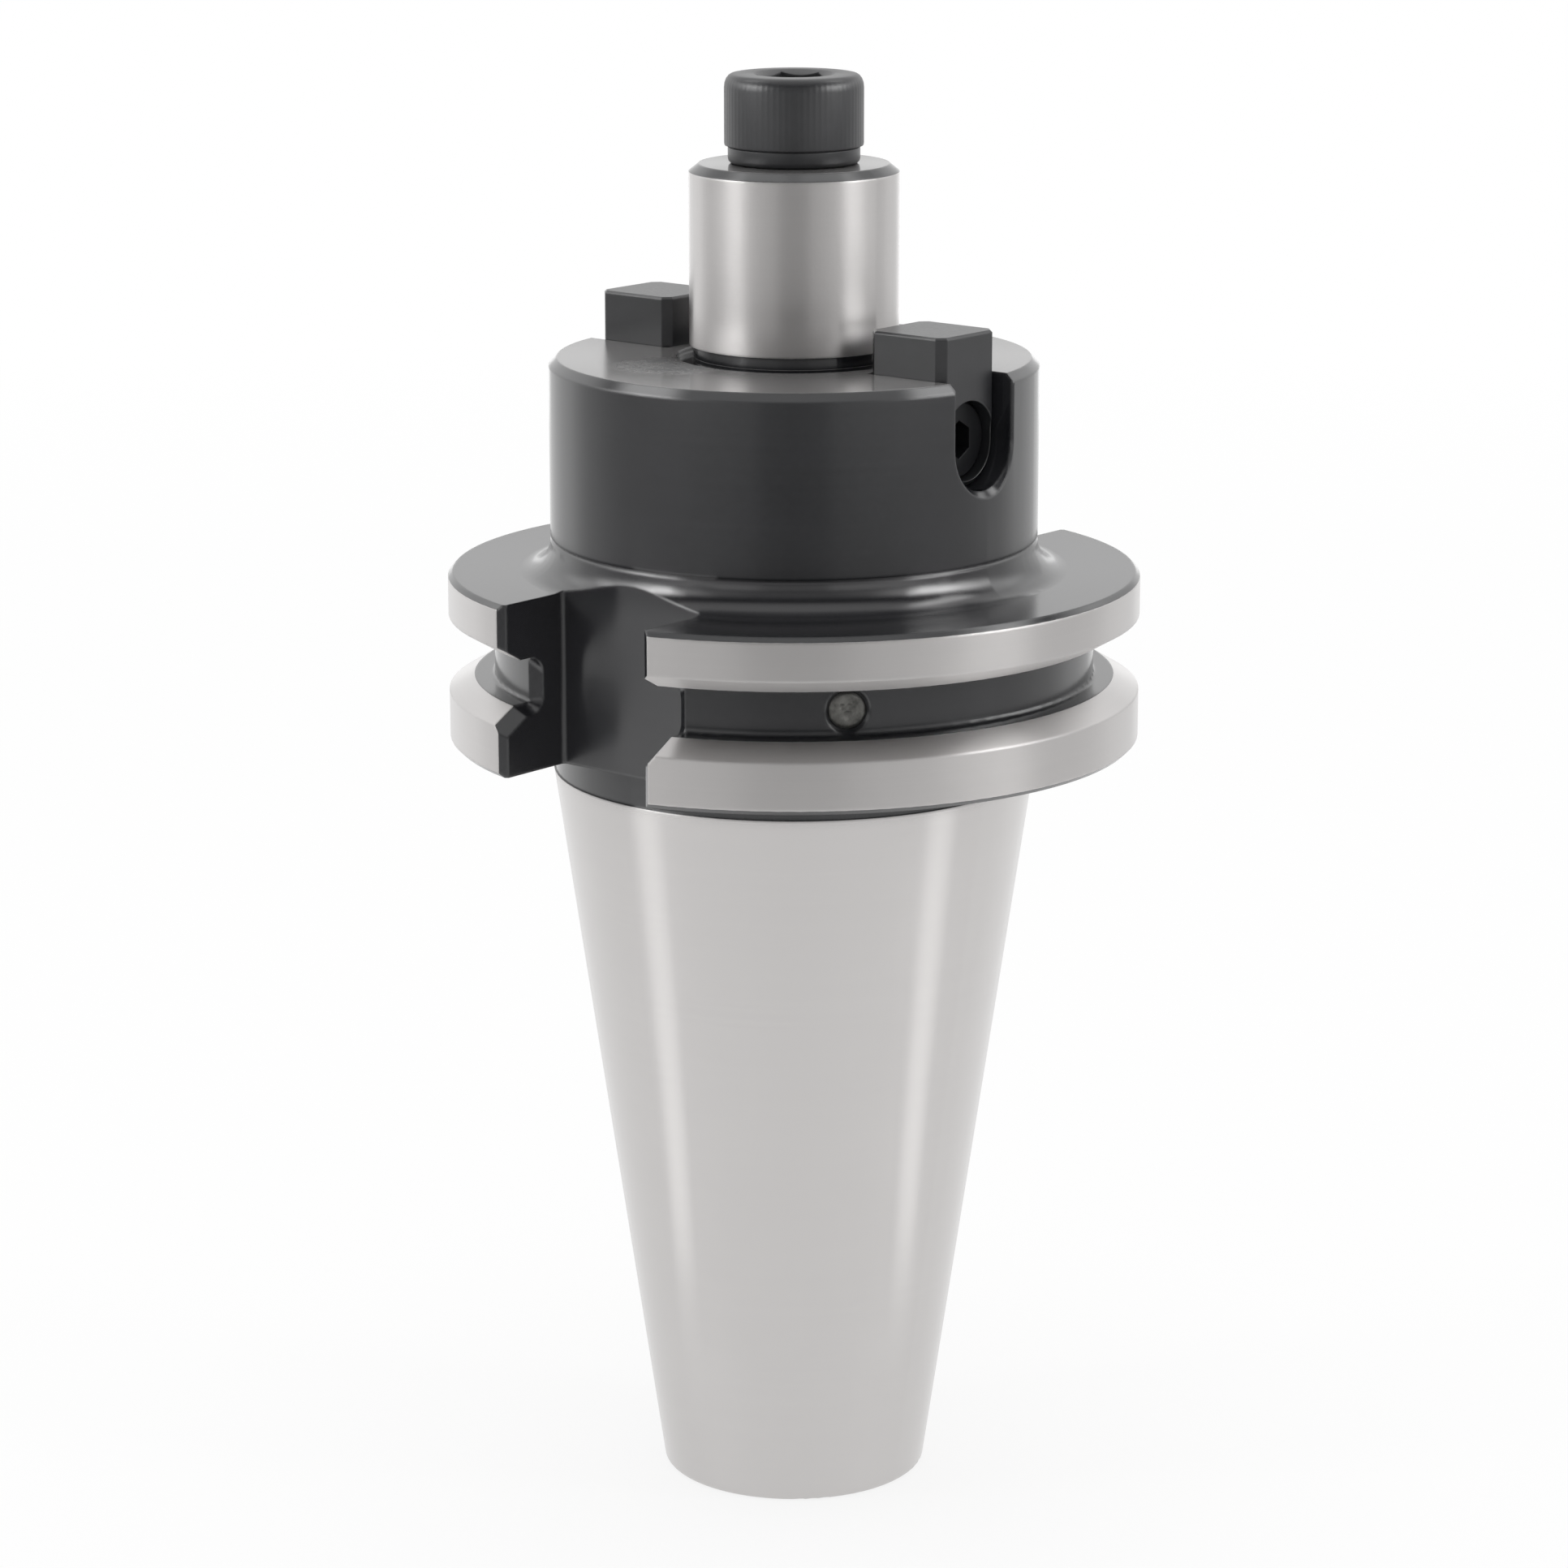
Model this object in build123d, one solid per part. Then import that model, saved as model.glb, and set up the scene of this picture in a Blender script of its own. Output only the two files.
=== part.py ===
from build123d import *
import os
from math import cos, pi, radians, sin, sqrt, tan

# Shell mill arbor: a 7:24 taper shank and V-groove flange that carry a pilot, two bolted drive keys and
# a lock screw for a shell mill. Millimetres, +Z up. The arbor stands on the small end of its taper, with
# the origin at the centre of that end. The flange's drive slots face -Y and +Y, the keys +X and -X.

# Taper shank, measured down from the gage line
GAGE_DIA = 44.45
TAPER_LENGTH = 68.25
TAPER_RATE = 7 / 24
END_ROUND = 0.7

# Threaded hole in the small end, for the pull stud
STUD_PILOT_DIA = 16.3
STUD_PILOT_DEPTH = 4.8
STUD_THREAD_DIA = 13.5
STUD_THREAD_DEPTH = 24.0
STUD_MOUTH_CHAMFER = 0.6
DRILL_POINT_ANGLE = 118.0

# Flange, with heights above the gage line
NECK_DIA = 44.2
FLANGE_DIA = 63.5
FLANGE_GAP = 2.85
FLANGE_THICKNESS = 15.7
FLANGE_CHAMFER = 0.45

# Gripper groove round the flange
GROOVE_HEIGHT = 11.11
GROOVE_ANGLE = 60.0
GROOVE_MOUTH = 7.1
GROOVE_FLANK_DEPTH = 2.35
GROOVE_DEPTH = 4.2
GROOVE_CORNER_RADIUS = 0.35

# Drive slots through the flange
DRIVE_SLOT_WIDTH = 16.3
DRIVE_SLOT_FLOOR = 22.6
DRIVE_SLOT_CORNER = 0.4
RIM_EDGE_CHAMFER = 0.75
GROOVE_EDGE_CHAMFER = 1.3
GROOVE_EDGE_DROP = 0.95
GROOVE_EDGE_TOP_GAP = 0.15
GROOVE_EDGE_RADIUS = 1.6

# Body above the flange
BODY_DIA = 44.65
GAGE_LENGTH = 38.1
BODY_FILLET = 2.8
BODY_EDGE_CHAMFER = 0.75
FOOT_LINE_WIDTH = 0.42
FOOT_LINE_DEPTH = 0.2

# Pilot and its undercut
PILOT_DIA = 19.05
PILOT_LENGTH = 17.46
PILOT_CHAMFER = 0.9
PILOT_CHAMFER_HEIGHT = 0.7
UNDERCUT_DIA = 18.3
UNDERCUT_HEIGHT = 1.1
UNDERCUT_RING_DIA = 21.4
UNDERCUT_RING_DEPTH = 0.5

# Drive keys: drops and rise are those of the front key, and the rear one stands higher by its lift
KEY_WIDTH = 7.94
KEY_THICKNESS = 8.4
KEY_SEAT = 11.8
KEY_RISE = 3.85
KEY_REAR_LIFT = 0.7
KEY_FOOT_DROP = 5.95
KEY_SCREW_DROP = 5.7
KEY_CORNER_CHAMFER = 0.75
KEY_EDGE_CHAMFER = 0.2
KEY_SLOT_CLEARANCE = 0.08
KEY_SLOT_EDGE_CHAMFER = 0.2

# Key screws
KEY_SCREW_THREAD = 4.0
KEY_SCREW_LENGTH = 8.0
KEY_SCREW_HEAD_DIA = 7.0
KEY_SCREW_HEAD_HEIGHT = 4.0
KEY_SCREW_HEX = 3.0
KEY_SCREW_HEX_DEPTH = 2.0
KEY_SCREW_RECESS = 1.15
KEY_BORE_CLEARANCE = 0.1
KEY_HOLE_CLEARANCE = 0.25

# Lock screw
LOCK_THREAD = 8.0
LOCK_LENGTH = 25.0
LOCK_HEAD_DIA = 12.6
LOCK_HEAD_HEIGHT = 8.0
LOCK_HEAD_CROWN = 0.8
LOCK_HEAD_CROWN_HEIGHT = 1.2
LOCK_HEAD_CROWN_SLOPE = 0.25
LOCK_COLLAR_DIA = 11.95
LOCK_COLLAR_HEIGHT = 1.65
LOCK_COLLAR_ROUND = 0.5
LOCK_HEX = 6.0
LOCK_HEX_DEPTH = 4.5
KNURL_TEETH = 56
KNURL_DEPTH = 0.16

# Threads: play on the radius, free depth below each screw's end, and the end's bevel per diameter
THREAD_PLAY = 0.05
LOCK_HOLE_SPARE = 1.0
KEY_HOLE_SPARE = 0.5
SCREW_END_BEVEL = 0.1

# Round plug in the groove's floor, measured from -Y towards +X
PLUG_ANGLE = 49.6
PLUG_DIA = 3.3
PLUG_LENGTH = 3.0
PLUG_RECESS = 0.45
PLUG_PLAY = 0.02
PLUG_MOUTH_DIA = 4.1

# Heights and radii that follow from the sizes above
GAGE_Z = TAPER_LENGTH
FLANGE_REAR_Z = GAGE_Z + FLANGE_GAP
FLANGE_FRONT_Z = FLANGE_REAR_Z + FLANGE_THICKNESS
GROOVE_Z = GAGE_Z + GROOVE_HEIGHT
FACE_Z = GAGE_Z + GAGE_LENGTH
PILOT_TOP_Z = FACE_Z + PILOT_LENGTH
KEY_FOOT_Z = FACE_Z - KEY_FOOT_DROP
KEY_SCREW_Z = FACE_Z - KEY_SCREW_DROP
END_RADIUS = (GAGE_DIA - TAPER_LENGTH * TAPER_RATE) / 2
FLANGE_RADIUS = FLANGE_DIA / 2
BODY_RADIUS = BODY_DIA / 2
GROOVE_SLOPE = tan(radians(GROOVE_ANGLE / 2))
GROOVE_FLOOR_RADIUS = FLANGE_RADIUS - GROOVE_DEPTH
GROOVE_FLOOR_HALF = GROOVE_MOUTH / 2 - GROOVE_FLANK_DEPTH * GROOVE_SLOPE
KEY_OUTER = KEY_SEAT + KEY_THICKNESS

# How far a cutting shape reaches past the surface that it cuts, for large and for fine cuts
OVERSHOOT = 5.0
SMALL_OVERSHOOT = 1.0


def turned(points):
    """Revolve a closed (radius, height) outline once round the arbor's axis."""
    return revolve(make_face(Plane.XZ * Polyline(*points, close=True)), Axis.Z)


def ring_edge(solid, radius, height):
    """The circular edge of a turned solid that has this radius and height."""
    def misfit(edge):
        return abs(edge.radius - radius) + abs(edge.arc_center.Z - height)
    return min(solid.edges().filter_by(GeomType.CIRCLE), key=misfit)


def drilled_hole(radius, depth):
    """A drilled hole's shape: its mouth at the origin, its depth along -Z and a conical end."""
    point = radius / tan(radians(DRILL_POINT_ANGLE / 2))
    return turned([(0, -depth - point), (radius, -depth), (radius, 0), (0, 0)])


def arbor_blank():
    """The turned blank, with its fillet, chamfers and rounded small end."""
    blank = turned([
        (0, 0),
        (END_RADIUS, 0),
        (GAGE_DIA / 2, GAGE_Z),
        (NECK_DIA / 2, GAGE_Z),
        (NECK_DIA / 2, FLANGE_REAR_Z),
        (FLANGE_RADIUS, FLANGE_REAR_Z),
        (FLANGE_RADIUS, FLANGE_FRONT_Z),
        (BODY_RADIUS, FLANGE_FRONT_Z),
        (BODY_RADIUS, FACE_Z),
        (PILOT_DIA / 2, FACE_Z),
        (PILOT_DIA / 2, PILOT_TOP_Z),
        (0, PILOT_TOP_Z),
    ])
    blank = fillet(ring_edge(blank, BODY_RADIUS, FLANGE_FRONT_Z), BODY_FILLET)
    blank = fillet(ring_edge(blank, END_RADIUS, 0), END_ROUND)
    for height in (FLANGE_REAR_Z, FLANGE_FRONT_Z):
        blank = chamfer(ring_edge(blank, FLANGE_RADIUS, height), FLANGE_CHAMFER)
    blank = chamfer(ring_edge(blank, BODY_RADIUS, FACE_Z), BODY_EDGE_CHAMFER)
    return blank - pilot_chamfer() - pilot_undercut() - foot_line()


def pilot_chamfer():
    """The lead-in chamfer round the pilot's top edge."""
    radius = PILOT_DIA / 2
    rise = SMALL_OVERSHOOT * PILOT_CHAMFER_HEIGHT / PILOT_CHAMFER
    return turned([
        (radius - PILOT_CHAMFER - SMALL_OVERSHOOT, PILOT_TOP_Z + rise),
        (radius + SMALL_OVERSHOOT, PILOT_TOP_Z - PILOT_CHAMFER_HEIGHT - rise),
        (radius + SMALL_OVERSHOOT, PILOT_TOP_Z + rise),
    ])


def pilot_undercut():
    """The grinding relief at the pilot's foot, which runs down into the face."""
    return turned([
        (UNDERCUT_DIA / 2, FACE_Z - UNDERCUT_RING_DEPTH),
        (UNDERCUT_RING_DIA / 2, FACE_Z - UNDERCUT_RING_DEPTH),
        (UNDERCUT_RING_DIA / 2, FACE_Z + UNDERCUT_HEIGHT),
        (UNDERCUT_DIA / 2, FACE_Z + UNDERCUT_HEIGHT),
    ])


def foot_line():
    """The fine turned line where the body meets its fillet: a V that is as deep outside as inside."""
    middle = FLANGE_FRONT_Z + BODY_FILLET + FOOT_LINE_WIDTH / 2
    return turned([
        (BODY_RADIUS - FOOT_LINE_DEPTH, middle),
        (BODY_RADIUS + FOOT_LINE_DEPTH, middle - FOOT_LINE_WIDTH),
        (BODY_RADIUS + FOOT_LINE_DEPTH, middle + FOOT_LINE_WIDTH),
    ])


def groove_half(side, floor, grow=0.0, drop=0.0):
    """One wall of the groove as (radius, height) points: its slope is moved out by grow, its end by drop."""
    half_mouth = GROOVE_MOUTH / 2 + grow / cos(radians(GROOVE_ANGLE / 2)) + OVERSHOOT * GROOVE_SLOPE
    half_floor = GROOVE_FLOOR_HALF + drop
    outer = FLANGE_RADIUS + OVERSHOOT
    knee = outer - (half_mouth - half_floor) / GROOVE_SLOPE
    points = [(outer, half_mouth), (knee, half_floor), (floor, half_floor)]
    return [(radius, GROOVE_Z + side * rise) for radius, rise in points]


def gripper_groove():
    """The V-groove ring, with its floor corners slightly rounded."""
    floor = GROOVE_FLOOR_RADIUS
    groove = turned(groove_half(1, floor) + groove_half(-1, floor)[::-1])
    corners = [ring_edge(groove, floor, GROOVE_Z + side * GROOVE_FLOOR_HALF) for side in (1, -1)]
    return fillet(corners, GROOVE_CORNER_RADIUS)


def groove_edge_section(distance, grow, drop, corner_radius):
    """The groove's outline across the flange at a distance from the slot's middle, moved out and rounded."""
    floor = GROOVE_FLOOR_RADIUS - grow
    upper = groove_half(1, floor, -GROOVE_EDGE_TOP_GAP, -GROOVE_EDGE_TOP_GAP)
    lower = groove_half(-1, floor, grow, drop)[::-1]
    sag = FLANGE_RADIUS - sqrt(FLANGE_RADIUS ** 2 - distance ** 2)
    points = [(radius - sag, height) for radius, height in upper + lower]
    outline = make_face(Polyline(*points, close=True))
    outline = fillet(outline.vertices().group_by(Axis.X)[0], corner_radius)
    return Plane(origin=(distance, 0, 0), x_dir=(0, -1, 0), z_dir=(-1, 0, 0)) * outline


def groove_edge_cut():
    """The bevel on the groove's floor and lower wall where they meet a drive slot, on the +X wall."""
    wall = DRIVE_SLOT_WIDTH / 2
    at_wall = groove_edge_section(wall, GROOVE_EDGE_CHAMFER, GROOVE_EDGE_DROP, GROOVE_EDGE_RADIUS)
    inside = groove_edge_section(wall + GROOVE_EDGE_CHAMFER, 0.0, 0.0, GROOVE_CORNER_RADIUS)
    return loft([at_wall, inside], ruled=True)


def rim_edge_cut():
    """The bevel down the rim's two corners at a drive slot's +X wall."""
    wall = DRIVE_SLOT_WIDTH / 2
    inner = sqrt(FLANGE_RADIUS ** 2 - wall ** 2) - RIM_EDGE_CHAMFER
    outer = sqrt(FLANGE_RADIUS ** 2 - (wall + RIM_EDGE_CHAMFER) ** 2)
    slope = (outer - inner) / RIM_EDGE_CHAMFER
    reach = 2 * RIM_EDGE_CHAMFER
    tip = (wall + reach, -inner - reach * slope)
    corner = Polyline((wall, -inner), tip, (wall, -inner - 2 * reach), close=True)
    low = FLANGE_REAR_Z - OVERSHOOT
    return extrude(Pos(0, 0, low) * make_face(corner), FLANGE_THICKNESS + 2 * OVERSHOOT)


def drive_slot():
    """One drive slot through the flange at -Y, with bevelled edges."""
    low = FLANGE_REAR_Z - OVERSHOOT
    high = FLANGE_FRONT_Z + BODY_FILLET + FOOT_LINE_WIDTH / 2
    reach = FLANGE_RADIUS + OVERSHOOT - DRIVE_SLOT_FLOOR
    middle = (0, -DRIVE_SLOT_FLOOR - reach / 2, (low + high) / 2)
    slot = Pos(*middle) * Box(DRIVE_SLOT_WIDTH, reach, high - low)
    floor_corners = slot.edges().filter_by(Axis.Z).group_by(Axis.Y)[-1]
    slot = fillet(floor_corners, DRIVE_SLOT_CORNER)
    edge_cuts = groove_edge_cut() + rim_edge_cut()
    return slot + edge_cuts + mirror(edge_cuts, about=Plane.YZ)


def key_outline(width, top):
    """The U shape of a key or its slot, seen along X: straight sides over a full-radius foot."""
    half = width / 2
    straight = Rectangle(width, top - KEY_FOOT_Z, align=(Align.CENTER, Align.MIN))
    shape = Pos(0, KEY_FOOT_Z) * (straight + Circle(half))
    return Plane(origin=(0, 0, 0), x_dir=(0, 1, 0), z_dir=(1, 0, 0)) * shape


def key_slot():
    """The slot that holds one drive key, open at the face and at the body's side, at +X."""
    width = KEY_WIDTH + 2 * KEY_SLOT_CLEARANCE
    reach = BODY_RADIUS + OVERSHOOT - KEY_SEAT
    return extrude(Pos(KEY_SEAT, 0, 0) * key_outline(width, FACE_Z + OVERSHOOT), reach)


def key_slot_flare():
    """The bevel round the key slot's edge at the body's side, at +X."""
    width = KEY_WIDTH + 2 * KEY_SLOT_CLEARANCE
    side = sqrt(BODY_RADIUS ** 2 - (width / 2) ** 2)
    start = side - KEY_SLOT_EDGE_CHAMFER
    reach = 4 * KEY_SLOT_EDGE_CHAMFER
    sections = [
        Pos(start + grow, 0, 0) * key_outline(width + 2 * grow, FACE_Z + OVERSHOOT) for grow in (0, reach)
    ]
    return loft(sections, ruled=True)


def along_x(shape, start):
    """Turn a shape made along +Z so that it points along +X, with its origin at (start, 0) there."""
    return Pos(start, 0, KEY_SCREW_Z) * Rot(0, 90, 0) * shape


def key_screw_hole():
    """The tapped hole behind one key, at +X."""
    head_seat = KEY_OUTER - KEY_SCREW_RECESS - KEY_SCREW_HEAD_HEIGHT
    depth = KEY_SEAT - (head_seat - KEY_SCREW_LENGTH) + KEY_HOLE_SPARE
    return along_x(drilled_hole(KEY_SCREW_THREAD / 2 + THREAD_PLAY, depth), KEY_SEAT)


def plug_seat():
    """The countersunk blind hole for the plug, along -Z with its mouth at the groove's floor."""
    radius = PLUG_DIA / 2 + PLUG_PLAY
    depth = PLUG_RECESS + PLUG_LENGTH
    mouth = PLUG_MOUTH_DIA / 2
    spread = (mouth - radius) / PLUG_RECESS
    return turned([
        (0, -depth),
        (radius, -depth),
        (radius, -PLUG_RECESS),
        (mouth + spread * SMALL_OVERSHOOT, SMALL_OVERSHOOT),
        (0, SMALL_OVERSHOOT),
    ])


def at_plug(shape):
    """Place a shape made along +Z on the groove's floor, at the plug's angle."""
    turn = Rot(0, 0, PLUG_ANGLE - 90)
    return turn * Pos(GROOVE_FLOOR_RADIUS, 0, GROOVE_Z) * Rot(0, 90, 0) * shape


def stud_hole():
    """The pull stud's pilot bore and tapped hole, up from the small end."""
    chamfered = STUD_PILOT_DIA / 2 + STUD_MOUTH_CHAMFER
    pilot = turned([
        (0, 0),
        (chamfered, 0),
        (STUD_PILOT_DIA / 2, STUD_MOUTH_CHAMFER),
        (STUD_PILOT_DIA / 2, STUD_PILOT_DEPTH),
        (0, STUD_PILOT_DEPTH),
    ])
    thread = drilled_hole(STUD_THREAD_DIA / 2, STUD_PILOT_DEPTH + STUD_THREAD_DEPTH)
    return pilot + mirror(thread, about=Plane.XY)


def lock_screw_hole():
    """The tapped hole for the lock screw, down from the pilot's top."""
    depth = LOCK_LENGTH + LOCK_HOLE_SPARE
    return Pos(0, 0, PILOT_TOP_Z) * drilled_hole(LOCK_THREAD / 2 + THREAD_PLAY, depth)


def at_rear(shape):
    """Carry a shape made for the front key round to the rear key's place."""
    return Pos(0, 0, KEY_REAR_LIFT) * Rot(0, 0, 180) * shape


def arbor_body():
    """The one-piece arbor: taper, flange, body and pilot with all its slots and holes."""
    body = arbor_blank() - gripper_groove()
    body -= drive_slot()
    body -= Rot(0, 0, 180) * drive_slot()
    for key_cut in (key_slot(), key_slot_flare(), key_screw_hole()):
        body -= key_cut
        body -= at_rear(key_cut)
    body -= at_plug(plug_seat())
    return body - stud_hole() - lock_screw_hole()


def drive_key():
    """The drive key at +X, with its counterbored screw hole."""
    key = extrude(Pos(KEY_SEAT, 0, 0) * key_outline(KEY_WIDTH, FACE_Z + KEY_RISE), KEY_THICKNESS)
    key = chamfer(key.edges().filter_by(Axis.Z), KEY_CORNER_CHAMFER)
    key = chamfer(key.faces().sort_by(Axis.Z)[-1].edges(), KEY_EDGE_CHAMFER)
    bore = KEY_SCREW_HEAD_HEIGHT + KEY_SCREW_RECESS
    counterbore = drilled_cylinder(KEY_SCREW_HEAD_DIA / 2 + KEY_BORE_CLEARANCE, bore)
    hole = drilled_cylinder(KEY_SCREW_THREAD / 2 + KEY_HOLE_CLEARANCE, KEY_THICKNESS)
    return key - along_x(counterbore + hole, KEY_OUTER)


def drilled_cylinder(radius, depth):
    """A flat-bottomed hole's shape, with its mouth at the origin and its depth along -Z."""
    return Cylinder(radius, depth, align=(Align.CENTER, Align.CENTER, Align.MAX))


def hex_socket(across_flats, depth, top):
    """A hexagon socket's shape, sunk from the height of the head's top."""
    hexagon = RegularPolygon(across_flats / 2, 6, major_radius=False)
    return extrude(Pos(0, 0, top - depth) * hexagon, depth)


def threaded_shank(diameter, length):
    """A screw's shank below its head, at the thread's outer size with a bevelled end."""
    shank = Cylinder(diameter / 2, length, align=(Align.CENTER, Align.CENTER, Align.MAX))
    return chamfer(ring_edge(shank, diameter / 2, -length), diameter * SCREW_END_BEVEL)


def key_screw():
    """The screw that holds the key at +X."""
    head = Cylinder(
        KEY_SCREW_HEAD_DIA / 2, KEY_SCREW_HEAD_HEIGHT, align=(Align.CENTER, Align.CENTER, Align.MIN)
    )
    head = chamfer(ring_edge(head, KEY_SCREW_HEAD_DIA / 2, KEY_SCREW_HEAD_HEIGHT), KEY_EDGE_CHAMFER)
    screw = head + threaded_shank(KEY_SCREW_THREAD, KEY_SCREW_LENGTH)
    screw -= hex_socket(KEY_SCREW_HEX, KEY_SCREW_HEX_DEPTH, KEY_SCREW_HEAD_HEIGHT)
    return along_x(screw, KEY_OUTER - KEY_SCREW_RECESS - KEY_SCREW_HEAD_HEIGHT)


def knurled_band():
    """The knurled part of the lock screw's head: straight teeth under a rounded crown."""
    radius = LOCK_HEAD_DIA / 2
    teeth = []
    for step in range(2 * KNURL_TEETH):
        reach = radius - KNURL_DEPTH * (step % 2)
        angle = pi * step / KNURL_TEETH
        teeth.append((reach * cos(angle), reach * sin(angle)))
    height = LOCK_HEAD_HEIGHT - LOCK_COLLAR_HEIGHT
    band = extrude(Pos(0, 0, LOCK_COLLAR_HEIGHT) * make_face(Polyline(*teeth, close=True)), height)
    return band & head_envelope()


def head_envelope():
    """A turned shape just wider than the knurl, with the crown's rounded edge."""
    outer = LOCK_HEAD_DIA / 2 + KNURL_DEPTH
    top = LOCK_HEAD_HEIGHT
    shoulder = top - LOCK_HEAD_CROWN_HEIGHT
    edge = LOCK_HEAD_DIA / 2 - LOCK_HEAD_CROWN
    crown = Spline((outer, shoulder), (edge, top), tangents=[(0, 1), (-1, LOCK_HEAD_CROWN_SLOPE)])
    sides = Polyline((edge, top), (0, top), (0, 0), (outer, 0), (outer, shoulder))
    return revolve(make_face(Plane.XZ * (crown + sides)), Axis.Z)


def lock_screw():
    """The socket-head screw that clamps the cutter, standing in the pilot's nose."""
    collar = Cylinder(
        LOCK_COLLAR_DIA / 2, LOCK_COLLAR_HEIGHT, align=(Align.CENTER, Align.CENTER, Align.MIN)
    )
    collar = fillet(ring_edge(collar, LOCK_COLLAR_DIA / 2, 0), LOCK_COLLAR_ROUND)
    screw = collar + knurled_band() + threaded_shank(LOCK_THREAD, LOCK_LENGTH)
    screw -= hex_socket(LOCK_HEX, LOCK_HEX_DEPTH, LOCK_HEAD_HEIGHT)
    return Pos(0, 0, PILOT_TOP_Z) * screw


def groove_plug():
    """The small round plug, recessed in the groove's floor."""
    return at_plug(Pos(0, 0, -PLUG_RECESS) * drilled_cylinder(PLUG_DIA / 2, PLUG_LENGTH))


def build():
    """Write each piece to its own STEP file."""
    pieces = {
        "arbor_body": arbor_body(),
        "drive_key_front": drive_key(),
        "drive_key_rear": at_rear(drive_key()),
        "key_screw_front": key_screw(),
        "key_screw_rear": at_rear(key_screw()),
        "lock_screw": lock_screw(),
        "groove_plug": groove_plug(),
    }
    os.makedirs("parts", exist_ok=True)
    for name, piece in pieces.items():
        export_step(piece, f"parts/{name}.step")


build()
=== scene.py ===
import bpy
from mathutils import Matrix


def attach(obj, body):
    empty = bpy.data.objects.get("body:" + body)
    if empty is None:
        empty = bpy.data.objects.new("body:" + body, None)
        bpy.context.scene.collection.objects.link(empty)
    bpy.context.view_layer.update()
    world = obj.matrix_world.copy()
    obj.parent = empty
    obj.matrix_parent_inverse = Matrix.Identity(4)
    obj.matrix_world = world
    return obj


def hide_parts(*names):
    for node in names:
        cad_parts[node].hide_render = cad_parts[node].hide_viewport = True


bl_info = {
    "name": "Shell Mill Arbor",
    "version": (1, 0, 0),
    "blender": (4, 5, 0),
    "location": "3D View > Sidebar > Arbor",
    "description": "Finishes, screw, plug and studio for a 7:24 taper shell mill arbor",
    "category": "Object",
}

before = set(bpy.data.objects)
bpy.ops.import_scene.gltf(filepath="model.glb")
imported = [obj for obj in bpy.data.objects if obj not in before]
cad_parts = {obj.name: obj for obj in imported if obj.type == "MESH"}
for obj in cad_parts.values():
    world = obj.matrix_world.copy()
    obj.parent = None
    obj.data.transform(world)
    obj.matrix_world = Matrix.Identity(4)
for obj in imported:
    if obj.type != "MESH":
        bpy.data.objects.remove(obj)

import math

import bmesh
import bpy
from bpy.props import FloatProperty, FloatVectorProperty, IntProperty, PointerProperty
from mathutils import Matrix, Vector

MM = 0.001

# Heights, radii and half widths of the arbor in millimetres, which the finishes follow
GAGE_Z = 68.25
GROOVE_Z = GAGE_Z + 11.11
GROOVE_HALF_MOUTH = 3.55
GROOVE_KNEE_RADIUS = 29.4
GROOVE_FLOOR_RADIUS = 27.55
GROOVE_SLOPE = math.tan(math.radians(30))
RIM_RADIUS = 31.75
RIM_REAR_Z = GAGE_Z + 2.85
RIM_FRONT_Z = GAGE_Z + 18.55
SLOT_HALF_WIDTH = 8.15
SLOT_FLOOR = 22.6
FACE_Z = GAGE_Z + 38.1
PILOT_RADIUS = 9.525
PILOT_FOOT_Z = FACE_Z + 1.1
PILOT_TOP_Z = FACE_Z + 17.46
PILOT_EDGE_Z = PILOT_TOP_Z - 0.7
END_FACE_INNER_RADIUS = 9.2
STUD_THREAD_RADIUS = 6.75
STUD_THREAD_PITCH = 25.4 / 11
STUD_THREAD_DEPTH = 0.9
STUD_THREAD_END_Z = 28.0
PLUG_ANGLE = 49.6
PLUG_RECESS = 0.3

# Details of the finishes in millimetres, with the place of the painted dark reflection on the
# shoulder
EDGE_SOFTNESS = 0.35
OXIDE_GRAIN_DEPTH = 0.004
PLUG_GRAIN_DEPTH = 0.008
DARK_REFLECTION_PLACE = (-4.5, -12.0)
DARK_REFLECTION_REACH = 5.5

# How the ground and blackened metal shines
EDGE_SAMPLES = 4
OXIDE_IOR = 1.85
GRIND_ANISOTROPY = 0.9
GRIND_DIRECTION = 0.25

# Details of the lock screw in millimetres, with the steps in a turn and the sides of its core.
# The thread's section reaches into the core, and the neck and core reach past their ends.
COLLAR_ROUND = 0.5
COLLAR_RING_HEIGHT = 0.15
COLLAR_RING_DEPTH = 0.15
COLLAR_RING_SLOPE = 0.02
KNURL_LEAD = 0.2
CROWN_WIDTH = 0.8
SOCKET_CHAMFER = 0.25
SOCKET_CHAMFER_DEPTH = 0.45
SOCKET_POINT = 1.2
THREAD_START = 0.6
THREAD_SPARE = 3.2
THREAD_STEPS = 40
THREAD_REACH = 0.4
NECK_REACH = 0.3
NECK_SWELL = 0.02
CORE_REACH = 0.2
CORE_SIDES = 48
SCREW_POINT = 0.5

# The plug's rounded edge and dents in millimetres, and how the plug is divided. A dent is a place
# on the face and how far it reaches.
PLUG_EDGE_WIDTH = 0.3
PLUG_EDGE_KNEE = (0.16, -0.04)
PLUG_EDGE_DROP = 0.16
PLUG_FACE_DEPTH = 0.5
PLUG_DENTS = ((-0.35, -0.45, 0.3), (-0.3, 0.2, 0.34), (0.45, 0.1, 0.5))
PLUG_RINGS = 14
PLUG_SIDES = 64

# How white the camera sees the floor near the arbor, and from where to where it turns wholly
# white, in millimetres from the axis
FLOOR_WHITE_SHARE = 0.8
FLOOR_WHITE_FROM, FLOOR_WHITE_TO = 120, 700

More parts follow.
